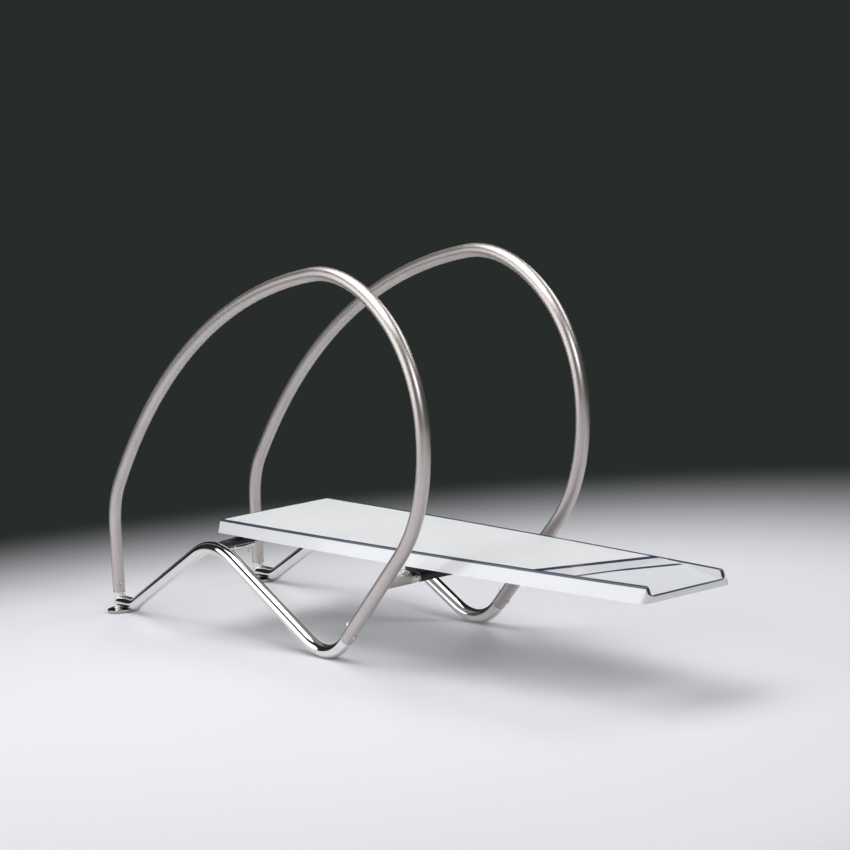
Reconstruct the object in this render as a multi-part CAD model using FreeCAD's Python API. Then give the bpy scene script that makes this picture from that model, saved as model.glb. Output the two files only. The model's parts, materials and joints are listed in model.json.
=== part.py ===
import FreeCAD, Part
import math
import os

# Diving board: two looped handrails on zigzag legs carry a tapered board.
# Millimetres, +X from the rear of the board to its tip, +Z up, floor at Z = 0.

# Frames
ORIGIN_X = 1428.323
FRAME_HALF_SPACING = 283.0
TUBE_OD = 43.0
TUBE_WALL = 2.0
FRONT_GAP = 1.6
REAR_GAP = 3.2
COUPLING_CLEARANCE = 0.1
COUPLING_LENGTH = 110.0
COUPLING_UP = 45.0
COUPLING_WALL = 3.0

# Leg corner points (x, z) measured from the foot plate, with bend radii
TAIL_Z = 32.5
LEG_BEND_1_X = 88.0
LEG_BEND_1_R = 120.0
LEG_APEX_X = 740.0
LEG_APEX_Z = 320.0
LEG_APEX_R = 300.0
LEG_HEEL_X = 1425.73
LEG_HEEL_Z = -18.22
LEG_HEEL_R = 225.0
FRONT_ANGLE = 38.3
FRONT_JOINT_RUN = 154.44

# Handrail from the front joint, round the loop, down to the rear joint
RAIL_FRONT_STRAIGHT = 466.0
RAIL_ARCS = [(530.0, 49.0), (394.0, 50.6), (526.0, 47.7), (2374.0, 41.2), (300.0, 35.2)]
RAIL_POST = 232.0

# Feet
FOOT_X = -8.0
FOOT_R = 58.0
FOOT_THICK = 8.5
GASKET_R = 52.0
GASKET_THICK = 2.5
ANCHOR_SPACING = 80.0
ANCHOR_HOLE_R = 5.5

# Joint fasteners
SCREW_UP = 32.0
SCREW_DOWN = 5.5
SCREW_R = 3.0
SCREW_HEAD_R = 5.0
SCREW_HEAD_H = 3.2
BOLT_UP = 42.0
BOLT_R = 4.0
BOLT_HEAD_R = 7.5
BOLT_HEAD_H = 5.0

# Rear seat under the board
SEAT_X = 721.0
SEAT_WIDTH = 48.0
BRACKET_Z1 = 286.0
BRACKET_ROOT_Y = 262.0
BRACKET_ROOT_DEPTH = 24.0
BRACKET_TIP_DEPTH = 12.0
BRACKET_WALL = 4.0
BRACKET_INNER_Y = 134.0
BAR_Z1 = 310.0
BAR_HALF = 240.0
BAR_WALL = 3.0
CAP_THICK = 4.0
BLOCK_HALF = 186.0
BLOCK_HOLE_PLAY = 0.2
SEAT_BOLT_Y = 150.0
SEAT_BOLT_R = 5.0
SEAT_HOLE_R = 6.5
SEAT_BOLT_Z0 = 250.0
BUSH_R = 12.0
BUSH_H = 5.0
WASHER_R = 11.0
WASHER_H = 2.0
NUT_AF = 17.0
NUT_H = 9.0
NUT_PLAY = 1.2

# Fulcrum
FULCRUM_X = 1806.0
FULCRUM_Z = 274.5
STUB_R = 17.0
COLLAR_Y0 = 174.0
COLLAR_Y1 = 195.0
COLLAR_R = 17.0
SHAFT_R = 10.0
SHAFT_HALF = 193.0
LOCK_BOLT_Y = 209.0
LOCK_BOLT_R = 5.0
LOCK_BOLT_AF = 22.0
LOCK_BOLT_HEAD = 12.0
LOCK_BOLT_SHANK = 10.0
ROLLER_R = 17.0
ROLLER_HALF = 162.0
CORE_RO = 14.0
CORE_RI = 11.5
BUSHING_RI = 10.06
BUSHING_LENGTH = 20.0
PAD_HALF = 187.0
PAD_WIDTH = 60.0
PAD_GAP = 0.5

# Board, in its own frame: u from the rear edge, v across, n up from the deck
BOARD_X = 661.0
BOARD_Z = 367.3
BOARD_PITCH = 0.55
BOARD_LENGTH = 2262.0
BOARD_REAR_HALF = 210.0
BOARD_MID_U = 1340.0
BOARD_MID_HALF = 178.0
BOARD_TIP_HALF = 131.0
BOARD_DEPTH = 44.0
FLARE = 9.0
TIP_SPREAD = 10.0
REAR_CORNER_R = 6.0
TIP_CORNER_R = 12.0
LEAST_CORNER_R = 2.0
SHELL_TOP = 5.0
SKIRT_WALL = 6.0
CORE_N0 = -31.0
SKIN_THICK = 3.0
SCOOP_U = 1990.0
SCOOP_DROP = 26.0
SCOOP_FLOOR = 8.0
RIM_END_RUN = 18.0
RIM_END_BOW = 0.06
TRIM_WIDTH = 10.0
TRIM_SIDE = 5.5
TRIM_SKIRT = 3.0
DECK_LAYER = 1.5
STRINGER_WIDTH = 78.0
STRINGER_PITCH = 112.0
WIDE_STRIPE = (1745.0, 1918.0, 44.0)
THIN_STRIPE = (1930.0, 2055.0, 20.0)

V = FreeCAD.Vector
RO = TUBE_OD / 2.0
RI = RO - TUBE_WALL
COUPLING_R = RI - COUPLING_CLEARANCE

os.makedirs("parts", exist_ok=True)


def save(name, shape):
    """Move a shape into the part's frame and write it as one node."""
    s = shape.copy()
    s.translate(V(-ORIGIN_X, 0, 0))
    s.exportStep("parts/" + name + ".step")
    print(name, len(s.Solids), "solids", s.isValid())


def save_pair(name, shape):
    """Write the right-hand piece (-Y) and its mirror image."""
    save(name + "_right", shape)
    save(name + "_left", shape.mirror(V(0, 0, 0), V(0, 1, 0)))


def both(shape):
    """A right-hand solid together with its mirror image."""
    return Part.makeCompound([shape, shape.mirror(V(0, 0, 0), V(0, 1, 0))])


def cyl(r, length, base, direction):
    return Part.makeCylinder(r, length, base, direction)


def ring(ro, ri, length, base, direction):
    return cyl(ro, length, base, direction).cut(cyl(ri, length, base, direction))


def box(x0, x1, y0, y1, z0, z1):
    return Part.makeBox(x1 - x0, y1 - y0, z1 - z0, V(x0, y0, z0))


def hexagon(af, height, base):
    """Hexagonal prism standing on +Z."""
    r = af / math.sqrt(3.0)
    pts = [V(base.x + r * math.cos(math.radians(60 * i)), base.y + r * math.sin(math.radians(60 * i)), base.z)
           for i in range(7)]
    return Part.Face(Part.makePolygon(pts)).extrude(V(0, 0, height))


def arc_edge(p, heading, radius, turn):
    """Arc to the left of the heading in the XZ plane; gives edge, end point and end heading."""
    h0 = math.radians(heading)
    hm = math.radians(heading + turn / 2.0)
    h1 = math.radians(heading + turn)
    cx = p.x - radius * math.sin(h0)
    cz = p.z + radius * math.cos(h0)
    mid = V(cx + radius * math.sin(hm), p.y, cz - radius * math.cos(hm))
    end = V(cx + radius * math.sin(h1), p.y, cz - radius * math.cos(h1))
    return Part.Arc(p, mid, end).toShape(), end, heading + turn


def line_edge(p, heading, length):
    h = math.radians(heading)
    end = V(p.x + length * math.cos(h), p.y, p.z + length * math.sin(h))
    return Part.LineSegment(p, end).toShape(), end


def bent_path(points, radii):
    """Straight runs joined by tangent arcs at the inner points."""
    edges = []
    last = points[0]
    for i in range(1, len(points) - 1):
        a = (points[i - 1] - points[i]).normalize()
        b = (points[i + 1] - points[i]).normalize()
        half = a.getAngle(b) / 2.0
        run = radii[i - 1] / math.tan(half)
        t0 = points[i] + a * run
        t1 = points[i] + b * run
        bis = (a + b).normalize()
        mid = points[i] + bis * (radii[i - 1] / math.sin(half) - radii[i - 1])
        edges.append(Part.LineSegment(last, t0).toShape())
        edges.append(Part.Arc(t0, mid, t1).toShape())
        last = t1
    edges.append(Part.LineSegment(last, points[-1]).toShape())
    return edges


def sweep(edges, radius):
    """Solid round bar along a path."""
    first = edges[0]
    start = first.valueAt(first.FirstParameter)
    tangent = first.tangentAt(first.FirstParameter)
    profile = Part.Wire(Part.Circle(start, tangent, radius).toShape())
    return Part.Wire(edges).makePipeShell([profile], True, False)


def tube(edges):
    return sweep(edges, RO).cut(sweep(edges, RI))


# Front joint and the line of the front straight
Y = -FRAME_HALF_SPACING
fa = math.radians(FRONT_ANGLE)
front_dir = V(math.cos(fa), 0, math.sin(fa))
heel = V(LEG_HEEL_X, Y, LEG_HEEL_Z)
joint = heel + front_dir * FRONT_JOINT_RUN
rail_start = joint + front_dir * FRONT_GAP

# Handrail loop
rail_edges = []
edge, p = line_edge(rail_start, FRONT_ANGLE, RAIL_FRONT_STRAIGHT)
rail_edges.append(edge)
heading = FRONT_ANGLE
for radius, turn in RAIL_ARCS:
    edge, p, heading = arc_edge(p, heading, radius, turn)
    rail_edges.append(edge)
edge, rail_end = line_edge(p, heading, RAIL_POST)
rail_edges.append(edge)
ph = math.radians(heading)
post_dir = V(math.cos(ph), 0, math.sin(ph))
rear_front = V(-post_dir.z, 0, post_dir.x)

rail = tube(rail_edges)
rail_solid = sweep(rail_edges, RO)

# Spigot standing on the foot plate
plate_top = GASKET_THICK + FOOT_THICK
spigot_top = rail_end + post_dir * REAR_GAP
drop = (spigot_top.z - plate_top) / -post_dir.z
spigot_outer = cyl(RO, drop + 30.0, spigot_top, post_dir)
keep = box(-300, 300, Y - 100, Y + 100, plate_top, 400)
spigot = ring(RO, RI, drop + 30.0, spigot_top, post_dir).common(keep)

# Leg tube: tail, rise, apex, fall and heel
tail_t = (spigot_top.z - TAIL_Z) / -post_dir.z
tail_start = spigot_top + post_dir * tail_t
leg_points = [tail_start, V(LEG_BEND_1_X, Y, TAIL_Z), V(LEG_APEX_X, Y, LEG_APEX_Z), heel, joint]
leg_edges = bent_path(leg_points, [LEG_BEND_1_R, LEG_APEX_R, LEG_HEEL_R])
leg_outer = sweep(leg_edges, RO)
leg = leg_outer.cut(sweep(leg_edges, RI)).cut(spigot_outer)

# Foot plate and gasket with anchor holes
foot = V(FOOT_X, Y, 0)
plate = cyl(FOOT_R, FOOT_THICK, V(FOOT_X, Y, GASKET_THICK), V(0, 0, 1))
plate = plate.makeFillet(1.5, [e for e in plate.Edges if e.Length > 100 and e.Vertexes[0].Z > plate_top - 1])
gasket = cyl(GASKET_R, GASKET_THICK, foot, V(0, 0, 1))
for side in (-1, 1):
    hole = cyl(ANCHOR_HOLE_R, 40.0, V(FOOT_X, Y + side * ANCHOR_SPACING / 2.0, -5), V(0, 0, 1))
    plate = plate.cut(hole)
    gasket = gasket.cut(hole)

# Internal couplings
rear_coupling = ring(COUPLING_R, COUPLING_R - COUPLING_WALL, COUPLING_LENGTH,
                     spigot_top - post_dir * (COUPLING_LENGTH - COUPLING_UP), post_dir)
front_coupling = ring(COUPLING_R, COUPLING_R - COUPLING_WALL, COUPLING_LENGTH - 20.0,
                      joint - front_dir * 12.0, front_dir)

# Rear joint screws, one in the post and one in the spigot
screws = []
for centre in (rail_end - post_dir * SCREW_UP, spigot_top + post_dir * SCREW_DOWN):
    bore_r = COUPLING_R - COUPLING_WALL
    shank = cyl(SCREW_R, RO - bore_r + 1.0, centre + rear_front * bore_r, rear_front)
    head = cyl(SCREW_HEAD_R, SCREW_HEAD_H, centre + rear_front * (RO + 0.2), rear_front)
    socket = cyl(SCREW_HEAD_R * 0.45, 2.0, centre + rear_front * (RO + SCREW_HEAD_H - 1.6), rear_front)
    rim = max(head.Edges, key=lambda e: e.Vertexes[0].X if e.Closed else -1e9)
    head = head.makeFillet(1.2, [rim])
    screws.append(shank.fuse(head.cut(socket)).removeSplitter())
    drill = cyl(SCREW_R, 40.0, centre, rear_front)
    rail = rail.cut(drill)
    spigot = spigot.cut(drill)
    rear_coupling = rear_coupling.cut(drill)

# Front joint through bolt, square to the tube
down_dir = V(front_dir.z, 0, -front_dir.x)
bolt_centre = joint + front_dir * BOLT_UP
drill = cyl(BOLT_R, 80.0, bolt_centre - down_dir * 40.0, down_dir)
rail = rail.cut(drill)
front_coupling = front_coupling.cut(drill)
bolt_shank = cyl(BOLT_R, 2 * RO + 5.5, bolt_centre - down_dir * (RO + 5.0), down_dir)
bolt_head = cyl(BOLT_HEAD_R, BOLT_HEAD_H, bolt_centre + down_dir * (RO + 0.3), down_dir)
joint_bolt = bolt_shank.fuse(bolt_head).removeSplitter()
nut_body = cyl(BOLT_HEAD_R - 0.5, 6.5, bolt_centre - down_dir * (RO + 0.3), down_dir * -1)
nut_dome = Part.makeSphere(BOLT_HEAD_R - 1.5, bolt_centre - down_dir * (RO + 6.3))
joint_nut = nut_body.fuse(nut_dome).removeSplitter().cut(drill.common(bolt_shank))

# Fulcrum stub, coped on the handrail
stub_base = V(FULCRUM_X, Y, FULCRUM_Z)
stub_length = FRAME_HALF_SPACING - COLLAR_Y1
stub = ring(STUB_R, STUB_R - TUBE_WALL, stub_length, stub_base, V(0, 1, 0)).cut(rail_solid)
lock_top = FULCRUM_Z + STUB_R
lock_shank = cyl(LOCK_BOLT_R, LOCK_BOLT_SHANK + 3.0, V(FULCRUM_X, -LOCK_BOLT_Y, lock_top - LOCK_BOLT_SHANK), V(0, 0, 1))
lock_head = hexagon(LOCK_BOLT_AF, LOCK_BOLT_HEAD + 4.0, V(FULCRUM_X, -LOCK_BOLT_Y, lock_top - 4.0))
lock_head = lock_head.cut(cyl(STUB_R, stub_length, stub_base, V(0, 1, 0)))
lock_bolt = lock_head.fuse(lock_shank).removeSplitter()
stub = stub.cut(lock_shank)
collar = ring(COLLAR_R, SHAFT_R, COLLAR_Y1 - COLLAR_Y0, V(FULCRUM_X, -COLLAR_Y1, FULCRUM_Z), V(0, 1, 0))
collar_mid = -(COLLAR_Y0 + COLLAR_Y1) / 2.0
collar_screw = cyl(2.5, COLLAR_R - SHAFT_R - 0.5, V(FULCRUM_X, collar_mid, FULCRUM_Z - SHAFT_R), V(0, 0, -1))
collar = collar.cut(cyl(2.5, 30.0, V(FULCRUM_X, collar_mid, FULCRUM_Z - 10), V(0, 0, -1)))
shaft = cyl(SHAFT_R, 2 * SHAFT_HALF, V(FULCRUM_X, -SHAFT_HALF, FULCRUM_Z), V(0, 1, 0))
roller_rubber = ring(ROLLER_R, CORE_RO, 2 * ROLLER_HALF, V(FULCRUM_X, -ROLLER_HALF, FULCRUM_Z), V(0, 1, 0))
roller_core = ring(CORE_RO, CORE_RI, 2 * ROLLER_HALF, V(FULCRUM_X, -ROLLER_HALF, FULCRUM_Z), V(0, 1, 0))
bushing = ring(CORE_RI, BUSHING_RI, BUSHING_LENGTH, V(FULCRUM_X, -ROLLER_HALF, FULCRUM_Z), V(0, 1, 0))

# Rear seat: channel bracket, cross bar, end caps and block
sx0 = SEAT_X - SEAT_WIDTH / 2.0
sx1 = SEAT_X + SEAT_WIDTH / 2.0
root_z = BRACKET_Z1 - BRACKET_ROOT_DEPTH
tip_z = BRACKET_Z1 - BRACKET_TIP_DEPTH
bracket_profile = [V(sx0, Y, BRACKET_Z1), V(sx0, Y, root_z), V(sx0, -BRACKET_ROOT_Y, root_z),
                   V(sx0, -BRACKET_INNER_Y, tip_z), V(sx0, -BRACKET_INNER_Y, BRACKET_Z1), V(sx0, Y, BRACKET_Z1)]
bracket = Part.Face(Part.makePolygon(bracket_profile)).extrude(V(SEAT_WIDTH, 0, 0))
under = BRACKET_Z1 - BRACKET_WALL
bracket = bracket.cut(box(sx0 + BRACKET_WALL, sx1 - BRACKET_WALL, Y - 5, -BRACKET_INNER_Y + 5, root_z - 5, under))
bracket = bracket.cut(leg_outer)
seat_drill = cyl(SEAT_HOLE_R, 70.0, V(SEAT_X, -SEAT_BOLT_Y, root_z), V(0, 0, 1))
bracket = bracket.cut(seat_drill)
bracket = max(bracket.Solids, key=lambda s: s.Volume)
bar = box(sx0, sx1, -BAR_HALF, BAR_HALF, BRACKET_Z1, BAR_Z1)
bar = bar.makeFillet(3.0, [e for e in bar.Edges if abs(e.tangentAt(e.FirstParameter).y) > 0.9])
bar_bore = box(sx0 + BAR_WALL, sx1 - BAR_WALL, -BAR_HALF, BAR_HALF, BRACKET_Z1 + BAR_WALL, BAR_Z1 - BAR_WALL)
bar = bar.cut(bar_bore).cut(both(seat_drill))
cap = box(sx0 + 1, sx1 - 1, -BAR_HALF - CAP_THICK, -BAR_HALF, BRACKET_Z1 + 1, BAR_Z1 - 1)
cap = cap.makeFillet(2.0, [e for e in cap.Edges if abs(e.tangentAt(e.FirstParameter).y) > 0.9])

# Seat fasteners: bushes and washers on the bracket, bolt and nut on the board
bush = ring(BUSH_R, SEAT_HOLE_R, BUSH_H, V(SEAT_X, -SEAT_BOLT_Y, under - BUSH_H), V(0, 0, 1))
washer = ring(WASHER_R, SEAT_HOLE_R, WASHER_H, V(SEAT_X, -SEAT_BOLT_Y, under - BUSH_H - WASHER_H), V(0, 0, 1))
nut_top = under - BUSH_H - WASHER_H - NUT_PLAY
nut = hexagon(NUT_AF, NUT_H, V(SEAT_X, -SEAT_BOLT_Y, nut_top - NUT_H))
nut = nut.cut(cyl(SEAT_BOLT_R, 30.0, V(SEAT_X, -SEAT_BOLT_Y, nut_top - 20), V(0, 0, 1)))


# Board outline in the (u, v) plane
def side_circle():
    """Circle through the three half widths of one long edge."""
    a = V(0, BOARD_REAR_HALF, 0)
    b = V(BOARD_MID_U, BOARD_MID_HALF, 0)
    c = V(BOARD_LENGTH, BOARD_TIP_HALF, 0)
    curve = Part.Arc(a, b, c).toShape().Curve
    return curve.Center, curve.Radius


CENTRE, SIDE_R = side_circle()


def half_width(u, grow):
    return CENTRE.y + math.sqrt((SIDE_R + grow) ** 2 - (u - CENTRE.x) ** 2)


def outline(grow, n, u_end=None, spread=0.0):
    """Closed wire of the board's plan at height n, grown outwards and spread at the tip."""
    bow = 1.0 - math.sqrt(0.5)
    r0 = REAR_CORNER_R
    r1 = max(TIP_CORNER_R + grow + spread, LEAST_CORNER_R)
    u0 = -grow
    u1 = (BOARD_LENGTH + grow) if u_end is None else u_end
    ys = half_width(u0 + r0, grow)
    ye = half_width(u1 - r1, grow) + spread
    um = (u0 + u1) / 2.0
    ym = half_width(um, grow) + spread / 2.0
    k0 = r0 * bow
    k1 = r1 * bow
    pts = [V(u0 + r0, ys, n), V(um, ym, n), V(u1 - r1, ye, n), V(u1 - k1, ye - k1, n), V(u1, ye - r1, n),
           V(u1, -ye + r1, n), V(u1 - k1, -ye + k1, n), V(u1 - r1, -ye, n), V(um, -ym, n), V(u0 + r0, -ys, n),
           V(u0 + k0, -ys + k0, n), V(u0, -ys + r0, n), V(u0, ys - r0, n), V(u0 + k0, ys - k0, n)]
    edges = [Part.Arc(pts[0], pts[1], pts[2]).toShape(), Part.Arc(pts[2], pts[3], pts[4]).toShape(),
             Part.LineSegment(pts[4], pts[5]).toShape(), Part.Arc(pts[5], pts[6], pts[7]).toShape(),
             Part.Arc(pts[7], pts[8], pts[9]).toShape(), Part.Arc(pts[9], pts[10], pts[11]).toShape(),
             Part.LineSegment(pts[11], pts[12]).toShape(), Part.Arc(pts[12], pts[13], pts[0]).toShape()]
    return Part.Wire(edges)


def prism(grow, n0, n1, u_end=None):
    return Part.Face(outline(grow, n0, u_end)).extrude(V(0, 0, n1 - n0))


def taper(grow0, n0, grow1, n1, u_end):
    """Skirted block: its sides lean outwards and its tip end stands upright."""
    return Part.makeLoft([outline(grow0, n0, u_end, TIP_SPREAD), outline(grow1, n1, u_end)], True, True)


def band(u_right, u_left, width, n0, n1):
    """Slanted strip across the deck between two stations on the right and left edges."""
    v = BOARD_REAR_HALF + 30.0
    slope = (u_left - u_right) / (2.0 * 150.0)
    mid = (u_left + u_right) / 2.0
    a = mid - slope * v
    b = mid + slope * v
    pts = [V(a, -v, n0), V(a + width, -v, n0), V(b + width, v, n0), V(b, v, n0), V(a, -v, n0)]
    return Part.Face(Part.makePolygon(pts)).extrude(V(0, 0, n1 - n0))


def place(shape):
    """From the board's own frame to the part."""
    s = shape.copy()
    s.rotate(V(0, 0, 0), V(0, 1, 0), BOARD_PITCH)
    s.translate(V(BOARD_X, 0, BOARD_Z))
    return s


outer = taper(FLARE, -BOARD_DEPTH, 0.0, 0.0, BOARD_LENGTH)

# Scoop: the deck between the side rims falls to the tip, where the rims end in an S curve
beyond = BOARD_LENGTH + 40.0
scoop_slope = SCOOP_DROP / (BOARD_LENGTH - SCOOP_U)
scoop_profile = [V(SCOOP_U, -300, 0), V(beyond, -300, -scoop_slope * (beyond - SCOOP_U)), V(beyond, -300, 5),
                 V(SCOOP_U, -300, 5), V(SCOOP_U, -300, 0)]
scoop = Part.Face(Part.makePolygon(scoop_profile)).extrude(V(0, 600, 0))
scoop = scoop.common(prism(-TRIM_WIDTH, -60.0, 6.0, BOARD_LENGTH + 60.0))
s0 = V(BOARD_LENGTH - RIM_END_RUN, -300, 0)
s1 = V(BOARD_LENGTH - RIM_END_RUN / 2.0, -300, -SCOOP_DROP / 2.0)
s2 = V(BOARD_LENGTH, -300, -SCOOP_DROP)
bulge = V(RIM_END_BOW * SCOOP_DROP, 0, RIM_END_BOW * RIM_END_RUN)
rim_end_edges = [Part.Arc(s0, (s0 + s1) * 0.5 + bulge, s1).toShape(),
                 Part.Arc(s1, (s1 + s2) * 0.5 - bulge, s2).toShape(),
                 Part.LineSegment(s2, V(beyond, -300, -SCOOP_DROP)).toShape(),
                 Part.LineSegment(V(beyond, -300, -SCOOP_DROP), V(beyond, -300, 5)).toShape(),
                 Part.LineSegment(V(beyond, -300, 5), V(s0.x, -300, 5)).toShape(),
                 Part.LineSegment(V(s0.x, -300, 5), s0).toShape()]
rim_end = Part.Face(Part.Wire(rim_end_edges)).extrude(V(0, 600, 0))
moulding = outer.cut(scoop).cut(rim_end)

# Coloured layer over the whole top: a dark edge trim folded down the side, and the deck inside it
lowered = moulding.copy()
lowered.translate(V(0, 0, -DECK_LAYER))
layer = moulding.cut(lowered).common(prism(0.0, -60.0, 5.0))
deck = layer.common(prism(-TRIM_WIDTH, -60.0, 5.0))
trim_side = moulding.common(box(-50, BOARD_LENGTH + 50, -400, 400, -TRIM_SIDE, 1.0))
trim_side = trim_side.cut(prism(-TRIM_SKIRT, -TRIM_SIDE - 1.0, 2.0))
trim = layer.cut(prism(-TRIM_WIDTH, -60.0, 5.0)).fuse(trim_side).removeSplitter()
tall_wide = band(WIDE_STRIPE[0], WIDE_STRIPE[1], WIDE_STRIPE[2], -60.0, 5.0)
tall_thin = band(THIN_STRIPE[0], THIN_STRIPE[1], THIN_STRIPE[2], -60.0, 5.0)
wide_stripe = deck.common(tall_wide)
thin_stripe = deck.common(tall_thin)
fields = sorted(deck.cut(tall_wide).cut(tall_thin).Solids, key=lambda s: s.Volume)[-3:]
main_tread, mid_field, tip_field = sorted(fields, key=lambda s: s.CenterOfMass.x)

# Hollow shell with a closed laminated tip
pocket = taper(FLARE - SKIRT_WALL, -BOARD_DEPTH - 1.0, -SKIRT_WALL, -SHELL_TOP, BOARD_LENGTH - SKIRT_WALL)
pocket_main = pocket.common(box(-50, SCOOP_U - 20.0, -400, 400, -60, 5))
pocket_tip = pocket.common(box(SCOOP_U - 20.0, BOARD_LENGTH, -400, 400, -60, -SCOOP_DROP - SCOOP_FLOOR))
shell = moulding.cut(pocket_main).cut(pocket_tip).cut(trim).cut(deck)
shell = max(shell.Solids, key=lambda s: s.Volume)

# Core stringers and the bottom skin that closes them in
stringers = []
for i in (-1, 0, 1):
    v0 = i * STRINGER_PITCH - STRINGER_WIDTH / 2.0
    length = SCOOP_U - 60.0
    half = half_width(length, 0.0) - SKIRT_WALL - 6.0
    s = box(20.0, length, v0, v0 + STRINGER_WIDTH, CORE_N0, -SHELL_TOP)
    s = s.common(box(0, length, -half, half, -60, 0)) if abs(i) == 1 else s
    stringers.append(s)
skin = pocket_main.common(box(-50, SCOOP_U, -400, 400, CORE_N0 - SKIN_THICK, CORE_N0))

# Board bolts, inserts, seat block and fulcrum pad
bolt_top_z = BOARD_Z - 16.0
bolt_base = V(SEAT_X, -SEAT_BOLT_Y, SEAT_BOLT_Z0)
seat_bolt = cyl(SEAT_BOLT_R, bolt_top_z - SEAT_BOLT_Z0, bolt_base, V(0, 0, 1))
bolt_hole = both(cyl(SEAT_BOLT_R, 100.0, bolt_base, V(0, 0, 1)))
insert_flange_z = BOARD_Z - 30.0
insert_base = V(SEAT_X, -SEAT_BOLT_Y, insert_flange_z)
insert = ring(9.0, SEAT_BOLT_R, bolt_top_z - insert_flange_z, insert_base, V(0, 0, 1))
insert_void = both(cyl(9.0, 60.0, insert_base, V(0, 0, 1)))
roof = place(box(-100, 2400, -400, 400, CORE_N0 - SKIN_THICK, 60))
block = box(sx0, sx1, -BLOCK_HALF, BLOCK_HALF, BAR_Z1 + 0.4, BOARD_Z).cut(roof)
block = block.cut(both(cyl(SEAT_BOLT_R + BLOCK_HOLE_PLAY, 100.0, bolt_base, V(0, 0, 1))))
pad_x0 = FULCRUM_X - PAD_WIDTH / 2.0
pad = box(pad_x0, pad_x0 + PAD_WIDTH, -PAD_HALF, PAD_HALF, FULCRUM_Z + ROLLER_R + PAD_GAP, BOARD_Z).cut(roof)
board_shell = place(shell)
pad = pad.cut(board_shell)
board_stringers = place(Part.makeCompound(stringers)).cut(insert_void)
board_skin = place(skin).cut(bolt_hole)
inserts = both(insert)
pad_screws = []
for side in (-1, 1):
    for dx in (-18.0, 18.0):
        at = V(FULCRUM_X + dx, side * 112.0, FULCRUM_Z + ROLLER_R + PAD_GAP + 6.0)
        head = cyl(6.0, 3.0, at, V(0, 0, 1))
        shank = cyl(2.5, 28.0, at, V(0, 0, 1))
        pad_screws.append(head.fuse(shank).removeSplitter())
        recess = cyl(6.0, 9.0, V(at.x, at.y, at.z - 6.0), V(0, 0, 1))
        through = cyl(2.5, 28.0, at, V(0, 0, 1))
        pad = pad.cut(recess).cut(through)
        board_skin = board_skin.cut(through)
        board_stringers = board_stringers.cut(through)

save_pair("handrail", rail)
save_pair("leg_tube", leg)
save_pair("spigot", spigot)
save_pair("foot_plate", plate)
save_pair("foot_gasket", gasket)
save_pair("rear_coupling", rear_coupling)
save_pair("front_coupling", front_coupling)
save_pair("rear_joint_screws", Part.makeCompound(screws))
save_pair("front_joint_bolt", joint_bolt)
save_pair("front_joint_nut", joint_nut)
save_pair("fulcrum_stub", stub)
save_pair("fulcrum_lock_bolt", lock_bolt)
save_pair("fulcrum_collar", collar)
save("collar_screws", both(collar_screw))
save("fulcrum_shaft", shaft)
save("roller_rubber", roller_rubber)
save("roller_core", roller_core)
save("roller_bushings", both(bushing))
save_pair("seat_bracket", bracket)
save("seat_bar", bar)
save("seat_bar_caps", both(cap))
save("seat_bushes", both(bush))
save("seat_washers", both(washer))
save("seat_nuts", both(nut))
save("seat_bolts", both(seat_bolt))
save("board_inserts", inserts)
save("seat_block", block)
save("fulcrum_pad", pad)
save("fulcrum_pad_screws", Part.makeCompound(pad_screws))
save("board_shell", board_shell)
save("board_stringers", board_stringers)
save("board_bottom_skin", board_skin)
save("board_edge_trim", place(trim))
save("deck_tread", place(main_tread))
save("deck_band", place(mid_field))
save("deck_tip_field", place(tip_field))
save("stripe_wide", place(wide_stripe))
save("stripe_thin", place(thin_stripe))
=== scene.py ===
import json
import math
import bpy
import bmesh
from mathutils import Matrix, Vector
from mathutils.bvhtree import BVHTree


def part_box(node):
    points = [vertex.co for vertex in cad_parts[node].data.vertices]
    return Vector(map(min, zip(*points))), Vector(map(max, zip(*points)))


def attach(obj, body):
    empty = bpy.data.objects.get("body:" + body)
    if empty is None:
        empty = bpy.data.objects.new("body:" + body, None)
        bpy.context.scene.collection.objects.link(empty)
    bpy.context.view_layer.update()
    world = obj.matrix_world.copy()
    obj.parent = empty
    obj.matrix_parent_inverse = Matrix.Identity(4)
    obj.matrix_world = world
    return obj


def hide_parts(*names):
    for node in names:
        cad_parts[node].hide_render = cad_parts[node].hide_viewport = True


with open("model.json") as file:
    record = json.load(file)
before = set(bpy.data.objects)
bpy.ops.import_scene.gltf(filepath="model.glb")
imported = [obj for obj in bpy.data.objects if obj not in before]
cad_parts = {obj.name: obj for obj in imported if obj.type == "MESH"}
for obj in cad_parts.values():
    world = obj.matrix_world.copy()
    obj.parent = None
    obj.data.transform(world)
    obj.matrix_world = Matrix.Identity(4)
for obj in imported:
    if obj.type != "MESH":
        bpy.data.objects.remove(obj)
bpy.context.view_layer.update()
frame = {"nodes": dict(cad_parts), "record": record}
NODES = frame["nodes"]

MM = 0.001
X_AXIS, Y_AXIS, Z_AXIS = Vector((1, 0, 0)), Vector((0, 1, 0)), Vector((0, 0, 1))
SIDES = (("right", -1.0), ("left", 1.0))

# Directions of the frame's tubes: the posts lean forward and the front tubes rise to the tip
POST_LEAN = math.radians(8.0)
FRONT_RISE = math.radians(38.3)
POST_FRONT = Vector((math.cos(POST_LEAN), 0.0, -math.sin(POST_LEAN)))
FRONT_DOWN = Vector((math.sin(FRONT_RISE), 0.0, -math.cos(FRONT_RISE)))

# Middle plane of a side frame, radius of its tubes and height of the tail's axis, in metres
FRAME_Y = 0.283
TUBE_R = 0.0215
TAIL_Z = 0.0325

# Socket screws, in millimetres: head radius, head height, socket across flats, socket depth
REAR_SCREW = (5.0, 3.2, 4.0, 1.6)
FRONT_BOLT = (7.5, 5.0, 5.0, 2.6)
SHANK_R = 2.8
SHANK_EASE = 0.6
HEAD_OVERLAP = 0.2

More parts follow.
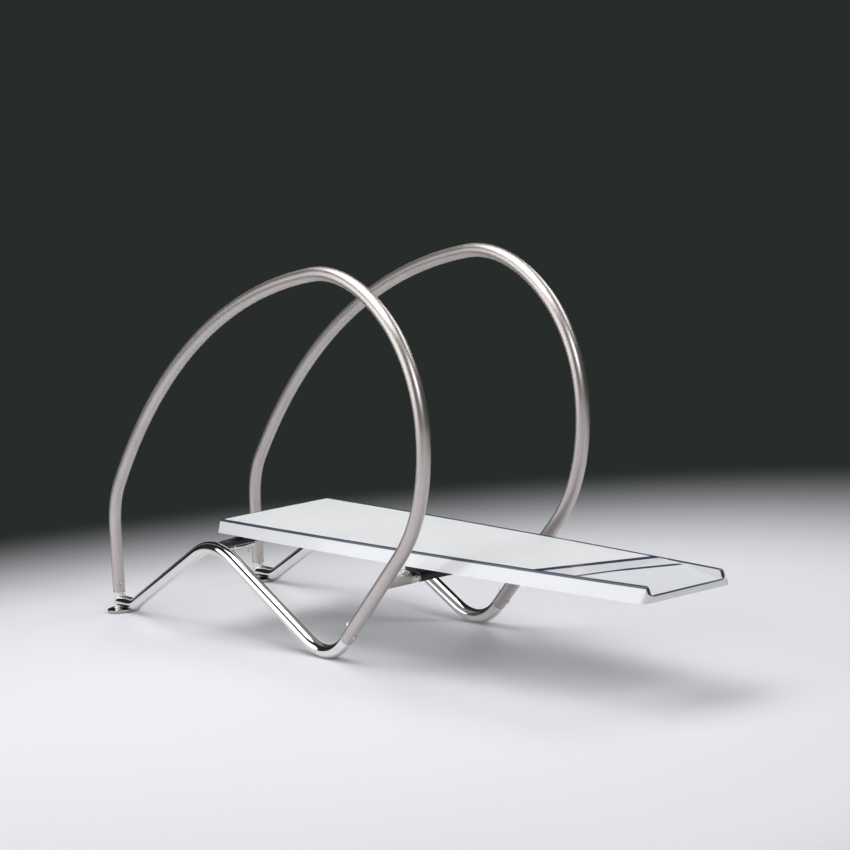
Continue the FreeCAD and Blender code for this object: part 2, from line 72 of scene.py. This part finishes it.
# Cap nut of the front joint, in millimetres: HALF is half the width across the flats
CAP_NUT_HALF = 6.5
CAP_NUT_HEIGHT = 11.8
CAP_NUT_EASE = 0.6
CAP_NUT_SHOULDER = 6.4
CAP_NUT_DOME_R = 5.3
CAP_NUT_DOME_RISE = 5.2

# Lock bolt on a stub, in millimetres
LOCK_HALF = 11.0
LOCK_HEAD = 15.0
LOCK_SHANK_R = 5.0
LOCK_LENGTH = 22.0

# Nuts under the rear seat, in millimetres
SEAT_NUT_HALF = 8.5
SEAT_NUT_HEIGHT = 9.0
SEAT_NUT_BORE_R = 5.0
SEAT_NUT_EASE = 0.6

# Where a stub's ring begins, in metres, then the ring and the roller, in millimetres
RING_START_Y = 0.174
RING_LENGTH = 21.0
RING_R = 17.0
RING_NARROW_R = 16.9
RING_NARROW_END = 4.6
RING_GROOVE_R = 14.2
RING_GROOVE_END = 8.0
RING_EASE = 0.7
SHAFT_R = 10.0
ROLLER_R = 17.0
ROLLER_CORE_R = 14.0
ROLLER_EASE = 1.5

# Weld beads: where the rays that look for the tube start and how far they reach, in metres
STUB_RAY_RING = 0.0172
STUB_RAY_Y = 0.20
SPIGOT_RAY_RING = 0.08
TAIL_RAY_RING = 0.0208
TAIL_RAY_X = 0.10
RAY_REACH = 0.2
# How many rays, the bead's radius in millimetres, the ripple's share of it and the bead's sides
TUBE_RAYS = 72
SPIGOT_RAYS = 84
TUBE_BEAD_R = 1.7
SPIGOT_BEAD_R = 1.9
BEAD_RIPPLE = 0.16
BEAD_SIDES = 10

# The cross bar's top falls away beyond this distance from the middle, at this slope
BAR_TAPER_START = 0.185
BAR_TAPER = 0.16

# Camera: where it stands, how it turns (radians) and its lens (millimetres)
CAMERA_PLACE = (7.48298, -4.49378, 1.79010)
CAMERA_TURN = 1.0150140
CAMERA_DIP = 0.1269811
CAMERA_ROLL = -0.1099431
CAMERA_LENS = 119.16
SENSOR = 36.0

# Floor: a round that stays pale to one radius and is gone at the other, a painted pool of light whose fade
# into the studio's dark stands for light falling off
FLOOR_CENTRE = (0.4, -0.9, 0.0)
FLOOR_LIT_RADIUS = 2.1
FLOOR_RIM = 4.2
FLOOR_COLOUR = (0.78, 0.78, 0.825)
STUDIO_DARK = (0.021, 0.025, 0.023)

# Soft boxes: name, place, what it points at, size and power
LIGHTS = (
    ("light_over", (-0.4, -0.6, 3.9), (0.1, 0.0, 0.3), (4.2, 3.2), 142.0),
    ("light_front", (-2.0, -4.6, 1.9), (-0.6, 0.0, 0.5), (7.4, 3.6), 165.0),
    ("light_back", (0.6, 3.2, 3.6), (0.0, 0.2, 0.3), (4.2, 1.6), 60.0),
    ("light_tip", (5.0, -0.6, 3.0), (0.4, 0.0, 0.4), (2.2, 2.4), 85.0),
)


# ---------------------------------------------------------------- materials

class Shader:
    """A small helper that builds one node material."""

    def __init__(self, name):
        self.material = bpy.data.materials.new(name)
        self.material.use_nodes = True
        self.tree = self.material.node_tree
        self.bsdf = self.tree.nodes["Principled BSDF"]

    def node(self, kind, **values):
        made = self.tree.nodes.new(kind)
        for key, value in values.items():
            if key in made.inputs:
                made.inputs[key].default_value = value
            else:
                setattr(made, key, value)
        return made

    def link(self, a, b):
        self.tree.links.new(a, b)

    def set(self, **values):
        for key, value in values.items():
            self.bsdf.inputs[key.replace("_", " ")].default_value = value

    def coords(self, scale):
        source = self.node("ShaderNodeTexCoord")
        mapping = self.node("ShaderNodeMapping")
        mapping.inputs["Scale"].default_value = scale
        self.link(source.outputs["Object"], mapping.inputs["Vector"])
        return mapping.outputs["Vector"]

    def noise(self, scale, detail=4.0, rough=0.55, stretch=(1, 1, 1)):
        made = self.node("ShaderNodeTexNoise", Scale=scale, Detail=detail, Roughness=rough)
        self.link(self.coords(stretch), made.inputs["Vector"])
        return made.outputs["Fac"]

    def ramp(self, value, stops):
        made = self.node("ShaderNodeValToRGB")
        cells = made.color_ramp.elements
        while len(cells) < len(stops):
            cells.new(0.5)
        for cell, (place, colour) in zip(cells, stops):
            cell.position = place
            cell.color = (*colour, 1)
        self.link(value, made.inputs["Fac"])
        return made.outputs["Color"]

    def spread(self, value, low, high):
        made = self.node("ShaderNodeMapRange")
        made.inputs["To Min"].default_value = low
        made.inputs["To Max"].default_value = high
        self.link(value, made.inputs["Value"])
        return made.outputs["Result"]

    def bump(self, value, strength, distance):
        made = self.node("ShaderNodeBump", Strength=strength, Distance=distance)
        self.link(value, made.inputs["Height"])
        self.link(made.outputs["Normal"], self.bsdf.inputs["Normal"])


def satin_steel():
    """Satin tube: fine even grain and a faint cloudiness."""
    s = Shader("satin_steel")
    grain = s.noise(420.0, 6.0, 0.7)
    cloud = s.noise(5.0, 3.0, 0.5)
    steel = s.ramp(cloud, [(0.3, (0.50, 0.465, 0.445)), (0.7, (0.57, 0.53, 0.51))])
    s.link(steel, s.bsdf.inputs["Base Color"])
    s.link(s.spread(grain, 0.33, 0.43), s.bsdf.inputs["Roughness"])
    s.set(Metallic=1.0)
    s.bump(grain, 0.05, 0.0004)
    return s.material


def polished_steel(name="polished_steel", tint=(0.80, 0.80, 0.78), rough=0.055):
    """Mirror polish with the faint waviness of a bent tube."""
    s = Shader(name)
    wave = s.noise(9.0, 2.0, 0.4)
    haze = s.noise(60.0, 4.0, 0.6)
    dark = tuple(0.93 * x for x in tint)
    s.link(s.ramp(haze, [(0.35, dark), (0.65, tint)]), s.bsdf.inputs["Base Color"])
    s.link(s.spread(haze, rough * 0.6, rough * 1.7), s.bsdf.inputs["Roughness"])
    s.set(Metallic=1.0)
    s.bump(wave, 0.10, 0.003)
    return s.material


def turned_steel(name, tint, rough):
    """Machined steel with light tool marks."""
    s = Shader(name)
    marks = s.noise(900.0, 3.0, 0.6)
    dark = tuple(0.75 * x for x in tint)
    s.link(s.ramp(marks, [(0.3, dark), (0.7, tint)]), s.bsdf.inputs["Base Color"])
    s.link(s.spread(marks, rough * 0.7, rough * 1.4), s.bsdf.inputs["Roughness"])
    s.set(Metallic=1.0)
    s.bump(marks, 0.15, 0.0002)
    return s.material


def black_paint():
    """Satin black with faint orange peel."""
    s = Shader("black_steel")
    peel = s.noise(260.0, 2.0, 0.5)
    paint = s.ramp(peel, [(0.3, (0.012, 0.013, 0.014)), (0.7, (0.022, 0.023, 0.025))])
    s.link(paint, s.bsdf.inputs["Base Color"])
    s.link(s.spread(peel, 0.28, 0.42), s.bsdf.inputs["Roughness"])
    s.bump(peel, 0.12, 0.0005)
    return s.material


def black_rubber():
    """Black rubber with a fine grain and a faint bloom."""
    s = Shader("black_rubber")
    grain = s.noise(700.0, 5.0, 0.7)
    bloom = s.noise(14.0, 3.0, 0.6)
    rubber = s.ramp(bloom, [(0.3, (0.010, 0.011, 0.011)), (0.75, (0.022, 0.022, 0.023))])
    s.link(rubber, s.bsdf.inputs["Base Color"])
    s.link(s.spread(grain, 0.55, 0.78), s.bsdf.inputs["Roughness"])
    s.bump(grain, 0.35, 0.0004)
    return s.material


def gelcoat(name, low, high, rough=0.16):
    """Glossy moulded surface with faint orange peel."""
    s = Shader(name)
    peel = s.noise(150.0, 2.0, 0.5)
    tone = s.noise(3.0, 3.0, 0.5)
    s.link(s.ramp(tone, [(0.3, low), (0.7, high)]), s.bsdf.inputs["Base Color"])
    s.link(s.spread(peel, rough * 0.8, rough * 1.35), s.bsdf.inputs["Roughness"])
    s.set(Coat_Weight=0.35, Coat_Roughness=0.08)
    s.bump(peel, 0.06, 0.0006)
    return s.material


def grit(name, low, high):
    """Non-slip surface: fine grains bonded into the gelcoat."""
    s = Shader(name)
    grains = s.node("ShaderNodeTexVoronoi", Scale=520.0, feature="F1")
    s.link(s.coords((1, 1, 1)), grains.inputs["Vector"])
    tone = s.noise(4.0, 4.0, 0.6)
    s.link(s.ramp(tone, [(0.3, low), (0.7, high)]), s.bsdf.inputs["Base Color"])
    s.link(s.spread(grains.outputs["Distance"], 0.50, 0.72), s.bsdf.inputs["Roughness"])
    s.bump(grains.outputs["Distance"], 0.40, 0.0008)
    return s.material


def plain_plastic(name, low, high, rough):
    """Moulded plastic with a slightly mottled tone."""
    s = Shader(name)
    tone = s.noise(40.0, 4.0, 0.6)
    s.link(s.ramp(tone, [(0.3, low), (0.7, high)]), s.bsdf.inputs["Base Color"])
    s.link(s.spread(tone, rough * 0.85, rough * 1.15), s.bsdf.inputs["Roughness"])
    s.bump(tone, 0.2, 0.0005)
    return s.material


def glass_laminate():
    """Raw glass fibre underside: woven strands under resin."""
    s = Shader("laminate")
    strands = s.node("ShaderNodeTexWave", Scale=90.0, Distortion=2.5, Detail=3.0)
    s.link(s.coords((1, 1, 1)), strands.inputs["Vector"])
    s.link(s.ramp(strands.outputs["Fac"], [(0.2, (0.50, 0.52, 0.47)), (0.8, (0.62, 0.64, 0.58))]),
           s.bsdf.inputs["Base Color"])
    s.link(s.spread(strands.outputs["Fac"], 0.35, 0.6), s.bsdf.inputs["Roughness"])
    s.bump(strands.outputs["Fac"], 0.3, 0.0008)
    return s.material


def planed_wood():
    """Planed timber with its grain along the board."""
    s = Shader("spruce")
    rings = s.node("ShaderNodeTexWave", Scale=22.0, Distortion=7.0, Detail=3.0, bands_direction="Y")
    s.link(s.coords((0.08, 1, 1)), rings.inputs["Vector"])
    s.link(s.ramp(rings.outputs["Fac"], [(0.2, (0.52, 0.36, 0.20)), (0.8, (0.72, 0.56, 0.36))]),
           s.bsdf.inputs["Base Color"])
    s.set(Roughness=0.6)
    s.bump(rings.outputs["Fac"], 0.2, 0.0005)
    return s.material


FINISH = {
    "satin_steel": satin_steel(),
    "polished_steel": polished_steel(),
    # Foot plates: a darker copy of the polished steel; the dark tint is a painted reflection standing for the
    # dark surroundings the plates mirror
    "plate_steel": polished_steel("plate_steel", (0.40, 0.41, 0.40), 0.10),
    "bright_fastener": turned_steel("bright_fastener", (0.72, 0.71, 0.69), 0.22),
    "inner_steel": turned_steel("inner_steel", (0.50, 0.50, 0.50), 0.35),
    "black_steel": black_paint(),
    "black_rubber": black_rubber(),
    "nylon": plain_plastic("nylon", (0.74, 0.72, 0.66), (0.82, 0.80, 0.74), 0.45),
    "gelcoat_white": gelcoat("gelcoat_white", (0.735, 0.745, 0.765), (0.775, 0.785, 0.805)),
    "laminate": glass_laminate(),
    "tread_white": grit("tread_white", (0.672, 0.680, 0.690), (0.705, 0.713, 0.724)),
    "band_white": gelcoat("band_white", (0.72, 0.73, 0.77), (0.75, 0.76, 0.80), 0.35),
    # Tip field: a darker, cooler copy of the tread grit; the darker tone is painted shade standing for the
    # tip's downward slope
    "tip_grey": grit("tip_grey", (0.622, 0.628, 0.660), (0.648, 0.654, 0.688)),
    "navy": gelcoat("navy", (0.026, 0.030, 0.070), (0.042, 0.047, 0.095), 0.30),
    "spruce": planed_wood(),
    "brass": turned_steel("brass", (0.72, 0.55, 0.26), 0.25),
}

SLOT_OF = {part["node"]: part["material_slot"] for part in frame["record"]["subparts"]}
BODIES = frame["record"]["behaviour"]["bodies"]
BODY_OF = {node: body for body, nodes in BODIES.items() for node in nodes}


def finish_object(piece, slot):
    piece.data.materials.clear()
    piece.data.materials.append(FINISH[slot])


for node_name, node_object in NODES.items():
    finish_object(node_object, SLOT_OF[node_name])


# ---------------------------------------------------------------- detail pieces

def add_piece(name, bm, slot, body, replaces=(), crease=38.0):
    """Hand a finished mesh over as a piece that rides on a body."""
    bmesh.ops.recalc_face_normals(bm, faces=bm.faces)
    for face in bm.faces:
        face.smooth = True
    mesh = bpy.data.meshes.new(name)
    bm.to_mesh(mesh)
    bm.free()
    mesh.set_sharp_from_angle(angle=math.radians(crease))
    piece = bpy.data.objects.new(name, mesh)
    bpy.context.scene.collection.objects.link(piece)
    finish_object(piece, slot)
    if replaces:
        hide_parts(*replaces)
    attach(piece, body)


def node_mesh(node):
    """A joined-up copy of a CAD node's mesh."""
    source = NODES[node]
    bm = bmesh.new()
    bm.from_mesh(source.data)
    bm.transform(source.matrix_world)
    bmesh.ops.remove_doubles(bm, verts=bm.verts, dist=0.002 * MM)
    return bm


def eased(node, width, segments=3, crease=40.0, reshape=None):
    """The node's own shape with its sharp edges rounded over."""
    bm = node_mesh(node)
    bmesh.ops.dissolve_limit(bm, angle_limit=math.radians(0.6), verts=bm.verts, edges=bm.edges)
    sharp = [e for e in bm.edges if len(e.link_faces) == 2 and e.calc_face_angle() > math.radians(crease)]
    bmesh.ops.bevel(bm, geom=sharp, offset=width * MM, offset_type="OFFSET", segments=segments,
                    profile=0.5, affect="EDGES", clamp_overlap=True)
    for vert in bm.verts if reshape else ():
        vert.co = reshape(vert.co)
    add_piece(node + "_eased", bm, SLOT_OF[node], BODY_OF[node], (node,))


def solids_of(node):
    """The points of each separate solid in a node."""
    bm = node_mesh(node)
    left = set(bm.verts)
    groups = []
    for first in bm.verts:
        if first not in left:
            continue
        left.discard(first)
        stack = [first]
        group = []
        while stack:
            vert = stack.pop()
            group.append(vert.co.copy())
            for edge in vert.link_edges:
                other = edge.other_vert(vert)
                if other in left:
                    left.discard(other)
                    stack.append(other)
        groups.append(group)
    bm.free()
    return groups


def end_of(points, axis):
    """Centre of the face that a solid shows at its far end along an axis."""
    reach = max(p.dot(axis) for p in points)
    face = [p for p in points if p.dot(axis) > reach - 0.05 * MM]
    low = Vector([min(p[i] for p in face) for i in range(3)])
    high = Vector([max(p[i] for p in face) for i in range(3)])
    return (low + high) / 2.0


def turned(rows, place, along, closed=False, segments=48, into=None):
    """Turned shape about a line, from (radius, height) rows in millimetres.

    A third value marks a hexagonal row, whose radius is half its width across the flats."""
    bm = into or bmesh.new()
    spin = Z_AXIS.rotation_difference(Vector(along)).to_matrix().to_4x4()
    stand = Matrix.Translation(place) @ spin
    rings = []
    for row in rows:
        ring = []
        for i in range(segments):
            angle = 2.0 * math.pi * i / segments
            radius = row[0]
            if len(row) == 3:
                radius /= math.cos((angle + math.pi / 6.0) % (math.pi / 3.0) - math.pi / 6.0)
            point = Vector((radius * math.cos(angle), radius * math.sin(angle), row[1])) * MM
            ring.append(bm.verts.new(stand @ point))
        rings.append(ring)
    pairs = list(zip(rings, rings[1:])) + ([(rings[-1], rings[0])] if closed else [])
    for a, b in pairs:
        for i in range(segments):
            j = (i + 1) % segments
            bm.faces.new((a[i], a[j], b[j], b[i]))
    if not closed:
        bm.faces.new(rings[0][::-1])
        bm.faces.new(rings[-1])
    return bm


def rounded(radius, height, ease, steps=4):
    """Rows that round a shoulder over at the top of a turned shape."""
    turns = [math.pi / 2.0 * i / steps for i in range(steps + 1)]
    return [(radius - ease + ease * math.cos(t), height - ease + ease * math.sin(t)) for t in turns]


def button_head(radius, height, socket, depth):
    """Rows of a domed screw head with a hexagonal socket, seated at height 0."""
    rim = socket / 2.0
    floor = height - depth
    dome = [(radius, 0.25 * height)]
    dome += [(radius * math.cos(t), height * (0.25 + 0.75 * math.sin(t))) for t in (0.35, 0.65, 0.95)]
    well = [(rim * 1.25, height), (rim, height - 0.3, 6), (rim, floor, 6), (0.2, floor - 0.4)]
    return dome + well


def dressed_fasteners(name, node, axis, head):
    """Replace a node's plain screws by detailed ones, keeping each one's length."""
    head_height = head[1]
    rows = button_head(*head)
    bm = bmesh.new()
    for points in solids_of(node):
        tip = end_of(points, axis)
        back = (min(p.dot(axis) for p in points) - tip.dot(axis)) / MM + head_height
        shank = [(SHANK_R - SHANK_EASE, back), (SHANK_R, back + SHANK_EASE), (SHANK_R, -HEAD_OVERLAP)]
        seat = tip - axis * head_height * MM
        turned(shank + [(rows[0][0], -HEAD_OVERLAP)] + rows, seat, axis, into=bm)
    add_piece(name, bm, SLOT_OF[node], BODY_OF[node], (node,))


def cap_nut(side):
    """Hexagonal nut with a domed cap."""
    node = "front_joint_nut_" + side
    top = end_of(solids_of(node)[0], -FRONT_DOWN)
    foot = [(CAP_NUT_HALF - CAP_NUT_EASE, -CAP_NUT_HEIGHT)]
    sides = [(CAP_NUT_HALF, CAP_NUT_EASE - CAP_NUT_HEIGHT, 6), (CAP_NUT_HALF, -CAP_NUT_SHOULDER, 6)]
    shoulder = [(CAP_NUT_HALF - 0.5, 0.8 - CAP_NUT_SHOULDER)]
    dome = [(CAP_NUT_DOME_R * math.cos(t), CAP_NUT_DOME_RISE * (math.sin(t) - 1.0))
            for t in (0.0, 0.3, 0.6, 0.9, 1.2, 1.45)]
    nut = turned(foot + sides + shoulder + dome, top, -FRONT_DOWN)
    add_piece("cap_nut_" + side, nut, SLOT_OF[node], "frame", (node,))


def lock_bolt(side):
    """Large hexagonal bolt head with a short shank."""
    node = "fulcrum_lock_bolt_" + side
    top = end_of(solids_of(node)[0], Z_AXIS)
    point = [(LOCK_SHANK_R - 0.6, -LOCK_LENGTH), (LOCK_SHANK_R, 0.8 - LOCK_LENGTH)]
    shank = point + [(LOCK_SHANK_R, -LOCK_HEAD)]
    head = [(LOCK_HALF, -LOCK_HEAD, 6), (LOCK_HALF, -1.4, 6), (LOCK_HALF - 0.4, -0.4), (LOCK_HALF - 1.4, 0.0)]
    add_piece("lock_bolt_" + side, turned(shank + head, top, Z_AXIS), SLOT_OF[node], "frame", (node,))


def stub_ring(side, sign):
    """Ring at the inner end of a fulcrum stub: a narrow and a wide band with a groove between."""
    node = "fulcrum_collar_" + side
    low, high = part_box(node)
    inner = (Vector(low) + Vector(high)) / 2.0
    inner.y = sign * RING_START_Y
    narrow = [(SHAFT_R, 0.0), (RING_NARROW_R - RING_EASE, 0.0), (RING_NARROW_R, RING_EASE),
              (RING_NARROW_R, RING_NARROW_END - 0.6), (RING_NARROW_R - 0.6, RING_NARROW_END)]
    groove = [(RING_GROOVE_R, RING_NARROW_END), (RING_GROOVE_R, RING_GROOVE_END)]
    wide = [(RING_R - RING_EASE, RING_GROOVE_END), (RING_R, RING_GROOVE_END + RING_EASE)]
    wide += rounded(RING_R, RING_LENGTH, 0.8) + [(SHAFT_R, RING_LENGTH)]
    ring = turned(narrow + groove + wide, inner, (0, sign, 0), closed=True)
    add_piece("stub_ring_" + side, ring, SLOT_OF[node], "frame", (node,))


def seat_hex_nuts():
    """Hexagonal nuts with eased corners, one for each plain nut."""
    bm = bmesh.new()
    face_r = SEAT_NUT_HALF - SEAT_NUT_EASE
    lower = [(SEAT_NUT_BORE_R, -SEAT_NUT_HEIGHT), (face_r, -SEAT_NUT_HEIGHT)]
    sides = [(SEAT_NUT_HALF, SEAT_NUT_EASE - SEAT_NUT_HEIGHT, 6), (SEAT_NUT_HALF, -SEAT_NUT_EASE, 6)]
    upper = [(face_r, 0.0), (SEAT_NUT_BORE_R, 0.0)]
    for points in solids_of("seat_nuts"):
        turned(lower + sides + upper, end_of(points, Z_AXIS), Z_AXIS, closed=True, into=bm)
    add_piece("seat_hex_nuts", bm, SLOT_OF["seat_nuts"], "board", ("seat_nuts",))


def roller_sleeve():
    """The roller's rubber with rounded ends."""
    low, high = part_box("roller_rubber")
    length = (high[1] - low[1]) / MM
    start = Vector(((low[0] + high[0]) / 2.0, low[1], (low[2] + high[2]) / 2.0))
    far_end = rounded(ROLLER_R, length, ROLLER_EASE)
    near_end = [(radius, length - height) for radius, height in reversed(far_end)]
    rows = [(ROLLER_CORE_R, 0.0)] + near_end + far_end + [(ROLLER_CORE_R, length)]
    sleeve = turned(rows, start, Y_AXIS, closed=True)
    add_piece("roller_sleeve", sleeve, "black_rubber", "roller", ("roller_rubber",))


def bar_taper(point):
    """Where a point of the cross bar goes when the bar's top falls away towards its ends."""
    low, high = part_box("seat_bar")
    past = max(abs(point.y) - BAR_TAPER_START, 0.0)
    share = (point.z - low[2]) / (high[2] - low[2])
    return Vector((point.x, point.y, point.z - share * BAR_TAPER * past))


def ring_of_rays(centre, radius, u, v, count, aim=None):
    """Rays from a ring of points, each with its start, its aim and its way outwards.

    Without an aim, the rays look inwards."""
    rays = []
    for i in range(count):
        turn = 2.0 * math.pi * i / count
        out = math.cos(turn) * u + math.sin(turn) * v
        rays.append((centre + radius * out, -out if aim is None else aim, out))
    return rays


def weld(name, node, rays, lift, radius, slot):
    """Rippled weld bead along the line where the rays meet a node."""
    bm = node_mesh(node)
    tree = BVHTree.FromBMesh(bm)
    bm.free()
    hits = []
    for start, aim, out in rays:
        place = tree.ray_cast(start, aim, RAY_REACH)[0]
        if place is not None:
            hits.append((place, out))
    bead = bmesh.new()
    rings = []
    for i, (place, out) in enumerate(hits):
        swell = radius * (1.0 + BEAD_RIPPLE * math.sin(i * math.pi / 2.0)) * MM
        ring = []
        for k in range(BEAD_SIDES):
            t = 2.0 * math.pi * k / BEAD_SIDES
            ring.append(bead.verts.new(place + swell * (math.cos(t) * out + math.sin(t) * lift)))
        rings.append(ring)
    closed = len(hits) == len(rays)
    for a, b in list(zip(rings, rings[1:])) + ([(rings[-1], rings[0])] if closed else []):
        for k in range(BEAD_SIDES):
            j = (k + 1) % BEAD_SIDES
            bead.faces.new((a[k], a[j], b[j], b[k]))
    if not closed:
        bead.faces.new(rings[0])
        bead.faces.new(rings[-1])
    add_piece(name, bead, slot, "frame", crease=180.0)


def weld_beads(side, sign):
    """Beads round the stub on the handrail, the spigot on its plate and the tail on the spigot."""
    low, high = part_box("fulcrum_stub_" + side)
    stub = Vector(((low[0] + high[0]) / 2.0, sign * STUB_RAY_Y, (low[2] + high[2]) / 2.0))
    rays = ring_of_rays(stub, STUB_RAY_RING, X_AXIS, Z_AXIS, TUBE_RAYS, sign * Y_AXIS)
    weld("stub_weld_" + side, "handrail_" + side, rays, sign * Y_AXIS, TUBE_BEAD_R, "satin_steel")

    low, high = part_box("spigot_" + side)
    base = Vector((low[0] + TUBE_R / math.cos(POST_LEAN), sign * FRAME_Y, low[2] + 1.0 * MM))
    rays = ring_of_rays(base, SPIGOT_RAY_RING, X_AXIS, Y_AXIS, SPIGOT_RAYS)
    weld("spigot_weld_" + side, "spigot_" + side, rays, Z_AXIS, SPIGOT_BEAD_R, "polished_steel")

    tail = Vector((base.x + TAIL_RAY_X, sign * FRAME_Y, TAIL_Z))
    rays = ring_of_rays(tail, TAIL_RAY_RING, Y_AXIS, Z_AXIS, TUBE_RAYS, -X_AXIS)
    weld("tail_weld_" + side, "spigot_" + side, rays, -X_AXIS, TUBE_BEAD_R, "polished_steel")


# Screws, bolts, nuts, rings and the roller
for side, sign in SIDES:
    dressed_fasteners("rear_screws_" + side, "rear_joint_screws_" + side, POST_FRONT, REAR_SCREW)
    dressed_fasteners("front_bolt_" + side, "front_joint_bolt_" + side, FRONT_DOWN, FRONT_BOLT)
    cap_nut(side)
    lock_bolt(side)
    stub_ring(side, sign)
seat_hex_nuts()
roller_sleeve()

# Rounded edges on the moulded and pressed pieces
eased("seat_bar", width=0.8, segments=2, reshape=bar_taper)
eased("seat_bar_caps", width=1.4, reshape=bar_taper)
eased("seat_block", width=2.0)
eased("fulcrum_pad", width=1.5)
for side, sign in SIDES:
    eased("seat_bracket_" + side, width=0.7, segments=2)
    eased("foot_gasket_" + side, width=0.7, segments=2)

# Weld beads
for side, sign in SIDES:
    weld_beads(side, sign)


# ---------------------------------------------------------------- stage

def studio_floor():
    """A pale round of floor whose rim melts into the dark of the studio: a painted pool of light, its fade
    standing for the light falling off.
    """
    mesh = bpy.data.meshes.new("floor")
    bm = bmesh.new()
    bmesh.ops.create_circle(bm, cap_ends=True, radius=FLOOR_RIM, segments=96)
    bm.to_mesh(mesh)
    bm.free()
    floor = bpy.data.objects.new("floor", mesh)
    bpy.context.scene.collection.objects.link(floor)
    floor.location = FLOOR_CENTRE
    s = Shader("floor")
    source = s.node("ShaderNodeTexCoord")
    reach = s.node("ShaderNodeVectorMath", operation="LENGTH")
    s.link(source.outputs["Object"], reach.inputs[0])
    # Painted light falloff: the floor fades from pale to clear between the lit radius and the rim
    light_falloff = s.node("ShaderNodeMapRange", interpolation_type="SMOOTHSTEP")
    light_falloff.inputs["From Min"].default_value = FLOOR_LIT_RADIUS
    light_falloff.inputs["From Max"].default_value = FLOOR_RIM
    s.link(reach.outputs["Value"], light_falloff.inputs["Value"])
    s.set(Base_Color=(*FLOOR_COLOUR, 1), Roughness=0.6, Specular_IOR_Level=0.2)
    clear = s.node("ShaderNodeBsdfTransparent")
    mix = s.node("ShaderNodeMixShader")
    s.link(light_falloff.outputs["Result"], mix.inputs["Fac"])
    s.link(s.bsdf.outputs["BSDF"], mix.inputs[1])
    s.link(clear.outputs["BSDF"], mix.inputs[2])
    s.link(mix.outputs["Shader"], s.tree.nodes["Material Output"].inputs["Surface"])
    mesh.materials.append(s.material)


def softbox(name, place, aim, size, power):
    """Rectangular area light that looks at a point."""
    lamp = bpy.data.lights.new(name, "AREA")
    lamp.shape = "RECTANGLE"
    lamp.size, lamp.size_y = size
    lamp.energy = power
    holder = bpy.data.objects.new(name, lamp)
    bpy.context.scene.collection.objects.link(holder)
    holder.location = place
    holder.rotation_euler = (Vector(aim) - Vector(place)).to_track_quat("-Z", "Y").to_euler()


def studio_light():
    for light in LIGHTS:
        softbox(*light)
    world = bpy.data.worlds.new("studio")
    world.use_nodes = True
    world.node_tree.nodes["Background"].inputs["Color"].default_value = (*STUDIO_DARK, 1)
    world.node_tree.nodes["Background"].inputs["Strength"].default_value = 1.0
    bpy.context.scene.world = world


def studio_camera():
    """Camera from the photo's standpoint, turned, dipped and rolled."""
    flat = math.cos(CAMERA_DIP)
    forward = Vector((-math.sin(CAMERA_TURN) * flat, math.cos(CAMERA_TURN) * flat, -math.sin(CAMERA_DIP)))
    level = Vector((math.cos(CAMERA_TURN), math.sin(CAMERA_TURN), 0.0))
    upright = level.cross(forward)
    right = math.cos(CAMERA_ROLL) * level + math.sin(CAMERA_ROLL) * upright
    up = -math.sin(CAMERA_ROLL) * level + math.cos(CAMERA_ROLL) * upright
    data = bpy.data.cameras.new("camera")
    data.lens = CAMERA_LENS
    data.sensor_width = SENSOR
    data.clip_start, data.clip_end = 0.1, 100.0
    camera = bpy.data.objects.new("camera", data)
    bpy.context.scene.collection.objects.link(camera)
    stance = Matrix((right, up, -forward)).transposed().to_4x4()
    camera.matrix_world = Matrix.Translation(CAMERA_PLACE) @ stance
    bpy.context.scene.camera = camera


studio_floor()
studio_light()
studio_camera()
bpy.context.scene.view_settings.view_transform = "Standard"
